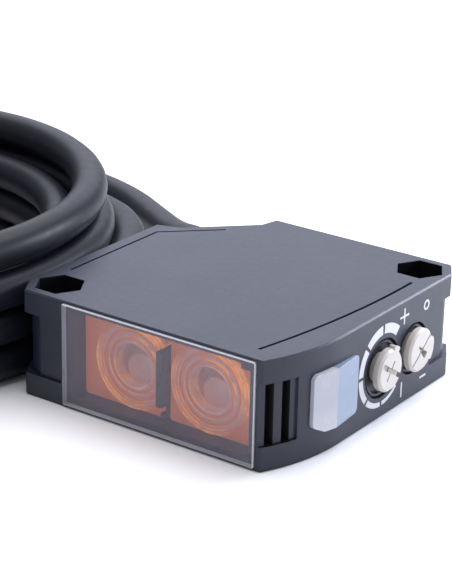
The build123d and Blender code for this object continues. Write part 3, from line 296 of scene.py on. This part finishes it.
class Shader:
    """A procedural material under construction: a Principled shader and the nodes that feed it."""

    def __init__(self, name, **sockets):
        self.material = bpy.data.materials.new(name)
        self.material.use_nodes = True
        self.tree = self.material.node_tree
        self.surface = self.tree.nodes["Principled BSDF"]
        for socket, value in sockets.items():
            label = socket.replace("_", " ").title().replace("Ior", "IOR")
            self.surface.inputs[label].default_value = value
        self.place = self.add("ShaderNodeNewGeometry").outputs["Position"]
        self.split = None

    def add(self, kind, **values):
        node = self.tree.nodes.new(kind)
        for key, value in values.items():
            setattr(node, key, value)
        return node

    def link(self, output, socket):
        self.tree.links.new(output, socket)

    def noise(self, size_mm, detail=3.0, stretch=(1, 1, 1)):
        """Noise with features about size_mm across."""
        mapping = self.add("ShaderNodeMapping")
        mapping.inputs["Scale"].default_value = stretch
        self.link(self.place, mapping.inputs["Vector"])
        noise = self.add("ShaderNodeTexNoise")
        noise.inputs["Scale"].default_value = 1 / (size_mm * MM)
        noise.inputs["Detail"].default_value = detail
        self.link(mapping.outputs["Vector"], noise.inputs["Vector"])
        return noise.outputs["Fac"]

    def mapped(self, value, low, high, start=0.0, end=1.0):
        """value from start..end turned into low..high."""
        node = self.add("ShaderNodeMapRange")
        for socket, number in zip(("From Min", "From Max", "To Min", "To Max"), (start, end, low, high)):
            node.inputs[socket].default_value = number
        self.link(value, node.inputs["Value"])
        return node.outputs["Result"]

    def mix(self, factor, a, b):
        """Colour a where factor is 0 and b where it is 1. Each is a colour or an output."""
        node = self.add("ShaderNodeMix", data_type="RGBA")
        self.link(factor, node.inputs["Factor"])
        for socket, colour in ((node.inputs["A"], a), (node.inputs["B"], b)):
            if isinstance(colour, tuple):
                socket.default_value = (*colour, 1)
            else:
                self.link(colour, socket)
        return node.outputs["Result"]

    def patches(self, size_mm, dark, light):
        """A colour that wanders between dark and light, in patches about size_mm across."""
        return self.mix(self.mapped(self.noise(size_mm, 3), 0, 1, *TONE_SPAN), dark, light)

    def colour(self, output):
        self.link(output, self.surface.inputs["Base Color"])

    def roughness(self, value, low, high):
        self.link(self.mapped(value, low, high, *NOISE_SPAN), self.surface.inputs["Roughness"])

    def bumps(self, height, strength, distance_mm):
        node = self.add("ShaderNodeBump")
        node.inputs["Strength"].default_value = strength
        node.inputs["Distance"].default_value = distance_mm * MM
        self.link(height, node.inputs["Height"])
        self.link(node.outputs["Normal"], self.surface.inputs["Normal"])
        return node

    def rounded(self, bump_node, radius_mm):
        """Softens the edges that the bump's normal starts from."""
        bevel = self.add("ShaderNodeBevel", samples=12)
        bevel.inputs["Radius"].default_value = radius_mm * MM
        self.link(bevel.outputs["Normal"], bump_node.inputs["Normal"])

    def axis(self, index):
        """The X, Y or Z of the place being shaded, in metres."""
        if self.split is None:
            self.split = self.add("ShaderNodeSeparateXYZ")
            self.link(self.place, self.split.inputs["Vector"])
        return self.split.outputs[index]

    def maths(self, operation, a, b=0.0):
        node = self.add("ShaderNodeMath", operation=operation)
        for socket, value in zip(node.inputs, (a, b)):
            if isinstance(value, (int, float)):
                socket.default_value = value
            else:
                self.link(value, socket)
        return node.outputs["Value"]

    def distance(self, centre_mm, first=0, second=2):
        """Distance in millimetres from a point, measured across two of the axes."""
        squares = [
            self.maths("POWER", self.maths("SUBTRACT", self.axis(index), place * MM), 2)
            for index, place in zip((first, second), centre_mm)
        ]
        return self.maths("MULTIPLY", self.maths("SQRT", self.maths("ADD", *squares)), 1 / MM)

    def between(self, index, span_mm):
        """1 where a coordinate lies inside a span, and 0 elsewhere."""
        above = self.maths("GREATER_THAN", self.axis(index), span_mm[0] * MM)
        below = self.maths("LESS_THAN", self.axis(index), span_mm[1] * MM)
        return self.maths("MULTIPLY", above, below)

    def along(self, index, span_mm, low, high):
        """low where a coordinate is before a span and high after it, with an even change between."""
        return self.mapped(self.axis(index), low, high, *(place * MM for place in span_mm))

    def ramp(self, value, stops):
        """A colour that changes with value: stops are (value, colour), as shares of 0..1."""
        node = self.add("ShaderNodeValToRGB")
        points = node.color_ramp.elements
        while len(points) < len(stops):
            points.new(0.5)
        for point, (place, colour) in zip(points, stops):
            point.position = place
            point.color = (*colour, 1)
        self.link(value, node.inputs["Fac"])
        return node.outputs["Color"]

    def occlusion_for_painted_shade(self, reach_mm, low, high):
        """Painted shade from ambient occlusion: 0 deep inside recesses and slots, 1 out in the open."""
        node = self.add("ShaderNodeAmbientOcclusion", samples=8, only_local=False)
        node.inputs["Distance"].default_value = reach_mm * MM
        return self.mapped(node.outputs["AO"], 0, 1, low, high)


def moulded(name, dark, light, rough, grain_mm=0.12, bump=0.12, edge_mm=0.2):
    """Injection-moulded plastic: fine grain, uneven colour and gloss, edges rounded by edge_mm."""
    shader = Shader(name, roughness=rough)
    grain = shader.noise(grain_mm, 2.0)
    shader.colour(shader.patches(9, dark, light))
    shader.roughness(shader.noise(0.8, 4), rough - 0.05, rough + 0.07)
    shader.rounded(shader.bumps(grain, bump, 0.02), edge_mm)
    return shader.material


STREAK_STRETCH, STREAK_SHADE = (1, 1, 8), 0.72


def metal(name, colour, rough):
    """Drawn or tinned metal with fine streaks."""
    shader = Shader(name, metallic=1.0, roughness=rough)
    streaks = shader.noise(0.4, 4, STREAK_STRETCH)
    darker = tuple(part * STREAK_SHADE for part in colour)
    shader.colour(shader.mix(streaks, darker, colour))
    shader.roughness(streaks, rough - 0.08, rough + 0.12)
    shader.bumps(streaks, 0.1, 0.01)
    return shader.material


CASE_DARK, CASE_LIGHT = (0.009, 0.012, 0.028), (0.012, 0.016, 0.034)
# colour of the painted shade in the recesses, slots and hollows
CASE_PAINTED_SHADE = (0.001, 0.001, 0.002)
# painted shade: the case is made darkest inside the nut recesses, two round spaces about these x and y
HOLES = ((-20.0, -20.0), (20.0, 20.0))
RECESS_R, RECESS_Z = 4.3, (13.8, 17.2)
# and inside the two slots beside the window, which are boxes
SLOTS_Y, SLOT_HALF = (-23.5, -20.95), 0.66
SLOT_X, SLOT_Z = (19.0, 26.0), (3.9, 13.8)


def make_case_material():
    """Spark-eroded grey-black plastic. Slots, recesses and grooves get painted shade, almost black, from
    ambient occlusion and from masks at the nut recesses and slots.
    """
    shader = Shader("case_plastic", roughness=0.42)
    tone = shader.patches(12, CASE_DARK, CASE_LIGHT)
    # painted shade: darker where ambient occlusion finds a hollow
    unshaded_by_occlusion = shader.occlusion_for_painted_shade(1.5, 0.15, 0.7)
    recess_shade = shader.between(2, RECESS_Z)
    nut = shader.maths("MINIMUM", *(shader.distance(hole, 0, 1) for hole in HOLES))
    recess_shade = shader.maths("MULTIPLY", recess_shade, shader.maths("LESS_THAN", nut, RECESS_R))
    slot_shade_rows = [shader.between(1, (y - SLOT_HALF, y + SLOT_HALF)) for y in SLOTS_Y]
    slot_shade = shader.maths("MULTIPLY", shader.maths("MAXIMUM", *slot_shade_rows), shader.between(2, SLOT_Z))
    slot_shade = shader.maths("MULTIPLY", slot_shade, shader.between(0, SLOT_X))
    # all the painted shade of the case: the masked recesses and slots, and the ambient occlusion
    painted_shade = shader.maths("MAXIMUM", recess_shade, slot_shade)
    clear = shader.maths("MULTIPLY", unshaded_by_occlusion, shader.maths("SUBTRACT", 1.0, painted_shade))
    shader.colour(shader.mix(clear, CASE_PAINTED_SHADE, tone))
    shader.roughness(shader.noise(1.1, 4), 0.42, 0.46)
    shader.bumps(shader.noise(0.16, 2.0), 0.10, 0.02)
    return shader.material


CABLE_DARK, CABLE_LIGHT = (0.007, 0.008, 0.014), (0.009, 0.010, 0.017)


def make_cable_material():
    """Soft PVC jacket: satin, with a fine grain and slightly uneven colour and gloss."""
    shader = Shader("cable_jacket", roughness=0.45, specular_ior_level=0.28)
    shade = shader.mapped(shader.noise(6, 4), 0, 1, 0.4, 0.7)
    shader.colour(shader.mix(shade, CABLE_DARK, CABLE_LIGHT))
    shader.roughness(shader.noise(1.5, 4), 0.42, 0.48)
    shader.bumps(shader.noise(0.25, 3), 0.10, 0.02)
    return shader.material


WINDOW_EDGE = (0.12, 0.20)           # the painted highlight of the polished edge fades out between these distances
# painted highlight along the polished edges: its colour and how much it covers
EDGE_HIGHLIGHT_COLOUR, EDGE_HIGHLIGHT_ALPHA = (0.75, 0.75, 0.82), 0.75
FILM_DARK, FILM_LIGHT = (0.30, 0.29, 0.37), (0.38, 0.36, 0.44)
FILM_ALPHA = (0.20, 0.27)


def make_window_material():
    """Clear filter window: a thin violet-grey film, a painted whitish highlight along its polished
    edges, and faint dust.
    """
    shader = Shader("window_filter", roughness=0.06)
    low, high = (Vector(corner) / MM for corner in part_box("lens_window"))
    edge = None
    for index in (0, 2):
        place = shader.maths("MULTIPLY", shader.axis(index), 1 / MM)
        for inwards in (shader.maths("SUBTRACT", place, low[index]),
                        shader.maths("SUBTRACT", high[index], place)):
            edge = inwards if edge is None else shader.maths("MINIMUM", edge, inwards)
    inside = shader.mapped(edge, 0, 1, *WINDOW_EDGE)
    dust = shader.noise(0.5, 6)
    # the film's colour, with the painted edge highlight near the edges
    shader.colour(shader.mix(inside, EDGE_HIGHLIGHT_COLOUR, shader.mix(dust, FILM_DARK, FILM_LIGHT)))
    veil = shader.mapped(dust, *FILM_ALPHA, *NOISE_SPAN)
    # the painted edge highlight also covers more than the film
    edge_highlight = shader.mapped(inside, EDGE_HIGHLIGHT_ALPHA, 0)
    shader.link(shader.maths("MAXIMUM", veil, edge_highlight), shader.surface.inputs["Alpha"])
    shader.roughness(dust, 0.04, 0.14)
    return shader.material


MAUVE, MAUVE_DARK, PINK = (0.36, 0.20, 0.19), (0.22, 0.11, 0.09), (0.56, 0.38, 0.36)
# the orange is the painted highlight on the ring edges; the brown is the lens's own colour
HIGHLIGHT_ORANGE, BROWN = (1.0, 0.40, 0.05), (0.44, 0.12, 0.04)
LENS_CENTRES = {"emitter_lens": (-4.4, 8.7), "receiver_lens": (9.7, 8.7)}
LENS_REACH = 10.0                    # the ring colours run out this far from the axis
HIGHLIGHT_SPAN = (1.5, 7.5)               # across plus up: the painted highlight grows between these, either way
HIGHLIGHT_CLOUD, CLOUD_SPAN = (0.35, 1.25), (0.38, 0.62)      # how a cloud varies the painted highlight
# strength of the lens's painted emission: the lens glows, though it is no lamp
LENS_PAINTED_EMISSION = 0.60
DISC_OFFSET, DISC_EDGE = (0.3, -1.3), (2.4, 2.9)         # the pale disc behind the middle


def make_lens_material(name, centre):
    """Amber lens: mauve between its rings, with painted highlights on the ring edges at the upper right
    and lower left, and a faint emission over the whole lens as a painted glow.
    """
    shader = Shader(name, roughness=0.14, ior=1.5)
    reach = shader.maths("DIVIDE", shader.distance(centre), LENS_REACH)
    across, up = (
        shader.maths("SUBTRACT", shader.axis(index), place * MM) for index, place in zip((0, 2), centre)
    )
    slant = shader.maths("MULTIPLY", shader.maths("ADD", across, up), 1 / MM)
    highlight_share = shader.mapped(shader.maths("ABSOLUTE", slant), 0, 1, *HIGHLIGHT_SPAN)
    cloud = shader.noise(1.6, 5)
    highlight_share = shader.maths("MULTIPLY", highlight_share, shader.mapped(cloud, *HIGHLIGHT_CLOUD, *CLOUD_SPAN))
    plain = shader.ramp(reach, [
        (0.00, MAUVE_DARK), (0.33, MAUVE_DARK), (0.36, MAUVE), (0.44, BROWN), (0.48, MAUVE),
        (0.56, BROWN), (0.60, MAUVE), (0.70, BROWN), (1.00, BROWN),
    ])
    # the same rings with painted highlights on their edges
    highlighted = shader.ramp(reach, [
        (0.00, MAUVE_DARK), (0.335, BROWN), (0.36, HIGHLIGHT_ORANGE), (0.39, MAUVE), (0.435, BROWN),
        (0.455, HIGHLIGHT_ORANGE), (0.49, MAUVE), (0.555, BROWN), (0.575, HIGHLIGHT_ORANGE), (0.61, BROWN),
        (0.635, HIGHLIGHT_ORANGE), (0.67, MAUVE), (0.705, HIGHLIGHT_ORANGE), (0.74, BROWN), (1.00, BROWN),
    ])
    tone = shader.mix(highlight_share, plain, highlighted)
    disc_centre = [place + offset for place, offset in zip(centre, DISC_OFFSET)]
    disc = shader.mapped(shader.distance(disc_centre), 1, 0, *DISC_EDGE)
    shader.colour(shader.mix(disc, tone, PINK))
    # the colours are also emitted: painted light
    shader.link(tone, shader.surface.inputs["Emission Color"])
    shader.surface.inputs["Emission Strength"].default_value = LENS_PAINTED_EMISSION
    shader.roughness(cloud, 0.08, 0.22)
    shader.bumps(shader.noise(0.9, 3), 0.12, 0.05)
    return shader.material


RIDGE_Y = (-12.6, -12.3)             # the front facet's colours turn into the rear one's here
PALE_Z = (4.5, 8.5)                  # the pale lower edge fades out between these heights
# painted light: lit colours for the front facet, darker bluish shaded ones for the rear facet
FRONT_LIT_TINT, FRONT_LIT_PALE = (0.46, 0.47, 0.54), (0.56, 0.57, 0.62)
REAR_SHADED_TINT, REAR_SHADED_PALE = (0.20, 0.26, 0.36), (0.24, 0.31, 0.41)


def make_indicator_material():
    """Milky polycarbonate, with painted light: whiter on its lit front facet and darker and bluish on
    the shaded facet behind the ridge.
    """
    shader = Shader("indicator_plastic", roughness=0.25, ior=1.5)
    # share of the rear facet's painted shade, from 0 before the ridge to 1 behind it
    behind = shader.along(1, RIDGE_Y, 0, 1)
    cloud = shader.noise(5, 1)
    tint = shader.mix(behind, FRONT_LIT_TINT, REAR_SHADED_TINT)
    pale = shader.mix(behind, FRONT_LIT_PALE, REAR_SHADED_PALE)
    low_edge = shader.along(2, PALE_Z, 1, 0)
    paleness = shader.maths("MAXIMUM", low_edge, shader.mapped(cloud, 0, 0.2, 0.35, 0.75))
    shader.colour(shader.mix(paleness, tint, pale))
    shader.roughness(cloud, 0.2, 0.32)
    shader.rounded(shader.bumps(shader.noise(0.6, 2), 0.01, 0.01), 0.12)
    return shader.material


MASK, MASK_OVER_COPPER = (0.008, 0.075, 0.032), (0.02, 0.14, 0.06)
TRACKS_PER_METRE = 700


def make_board_material():
    """Green solder mask with a faint pattern of copper under it."""
    shader = Shader("circuit_board", roughness=0.3)
    tracks = shader.add("ShaderNodeTexVoronoi", feature="DISTANCE_TO_EDGE")
    tracks.inputs["Scale"].default_value = TRACKS_PER_METRE
    shader.link(shader.place, tracks.inputs["Vector"])
    lines = shader.mapped(tracks.outputs["Distance"], 1, 0, 0.02, 0.06)
    shader.colour(shader.mix(lines, MASK, MASK_OVER_COPPER))
    shader.roughness(shader.noise(2, 3), 0.25, 0.4)
    shader.bumps(lines, 0.2, 0.03)
    return shader.material


MATERIALS = {
    "case": make_case_material(),
    "rubber": moulded("rubber_black", (0.020, 0.021, 0.025), (0.028, 0.029, 0.034), 0.6,
                      grain_mm=0.3, bump=0.2),
    "window": make_window_material(),
    "lens": moulded("led_resin", (0.42, 0.20, 0.14), (0.52, 0.28, 0.20), 0.25),
    "chip": moulded("black_epoxy", (0.015, 0.015, 0.017), (0.025, 0.025, 0.028), 0.5),
    "tin": metal("tinned_copper", (0.62, 0.62, 0.64), 0.35),
    "board": make_board_material(),
    "steel": metal("steel_zinc", (0.58, 0.58, 0.60), 0.3),
    "indicator": make_indicator_material(),
    "control": moulded("control_blue", (0.05, 0.11, 0.34), (0.07, 0.14, 0.40), 0.4),
    "knob": moulded("knob_plastic", (0.54, 0.50, 0.47), (0.60, 0.56, 0.53), 0.42,
                    grain_mm=0.2, bump=0.08, edge_mm=0.12),
    "cable": make_cable_material(),
    "wire_brown": moulded("wire_brown", (0.12, 0.045, 0.02), (0.16, 0.06, 0.03), 0.35),
    "wire_blue": moulded("wire_blue", (0.02, 0.07, 0.33), (0.03, 0.09, 0.40), 0.35),
    "wire_black": moulded("wire_black", (0.012, 0.012, 0.012), (0.02, 0.02, 0.02), 0.35),
    "wire_white": moulded("wire_white", (0.70, 0.70, 0.68), (0.78, 0.78, 0.76), 0.35),
}


def dress(obj, material):
    obj.data.materials.clear()
    obj.data.materials.append(material)


for part in frame["record"]["subparts"]:
    dress(frame["nodes"][part["node"]], MATERIALS[part["material_slot"]])
for node, centre in LENS_CENTRES.items():
    dress(frame["nodes"][node], make_lens_material(node, centre))
dress(cable, MATERIALS["cable"])
ink_material = moulded("white_ink", (0.60, 0.59, 0.62), (0.68, 0.67, 0.70), 0.5,
                       grain_mm=0.1, bump=0.1, edge_mm=0.02)
for mark in marks:
    dress(mark, ink_material)

# ---------------------------------------------------------------- floor, light and air
FLOOR_SIZE = 6                       # in metres
FLOOR_DARK, FLOOR_LIGHT = (0.86, 0.86, 0.885), (0.89, 0.89, 0.91)
AIR_COLOUR, AIR_STRENGTH = (0.88, 0.91, 1.0), 0.33
# each soft box: place and size in metres, power in watts, colour
LIGHTS = {
    "overhead": ((-0.1, 0.2, 1.0), (1.2, 1.2), 18.0, (0.98, 0.98, 1.0)),
    "behind": ((-0.75, 1.0, 0.55), (1.4, 0.6), 6.0, (0.80, 0.85, 1.0)),
    "side": ((0.9, 0.45, 0.3), (0.5, 0.4), 1.5, (0.85, 0.89, 1.0)),
    "rear_side": ((0.08, 0.13, 0.07), (0.05, 0.05), 0.22, (0.80, 0.86, 1.0)),
}


def make_floor():
    bpy.ops.mesh.primitive_plane_add(size=FLOOR_SIZE)
    floor = bpy.context.object
    floor.name = "floor"
    shader = Shader("floor_white", roughness=0.6)
    shader.colour(shader.mix(shader.noise(60, 3), FLOOR_DARK, FLOOR_LIGHT))
    dress(floor, shader.material)


def make_light(name, place, size, power, colour):
    """A soft box that faces the frame's origin, under the middle of the body."""
    data = bpy.data.lights.new(name, "AREA")
    data.shape = "RECTANGLE"
    data.size, data.size_y = size
    data.energy = power
    data.color = colour
    light = bpy.data.objects.new(name, data)
    light.location = place
    light.rotation_euler = (-Vector(place)).to_track_quat("-Z", "Y").to_euler()
    light.visible_camera = False
    scene.collection.objects.link(light)


def make_world():
    world = bpy.data.worlds.new("studio")
    world.use_nodes = True
    background = world.node_tree.nodes["Background"]
    background.inputs["Color"].default_value = (*AIR_COLOUR, 1)
    background.inputs["Strength"].default_value = AIR_STRENGTH
    scene.world = world


scene.view_settings.view_transform = "Standard"
make_floor()
for light_name, settings in LIGHTS.items():
    make_light(light_name, *settings)
make_world()

bpy.context.view_layer.update()
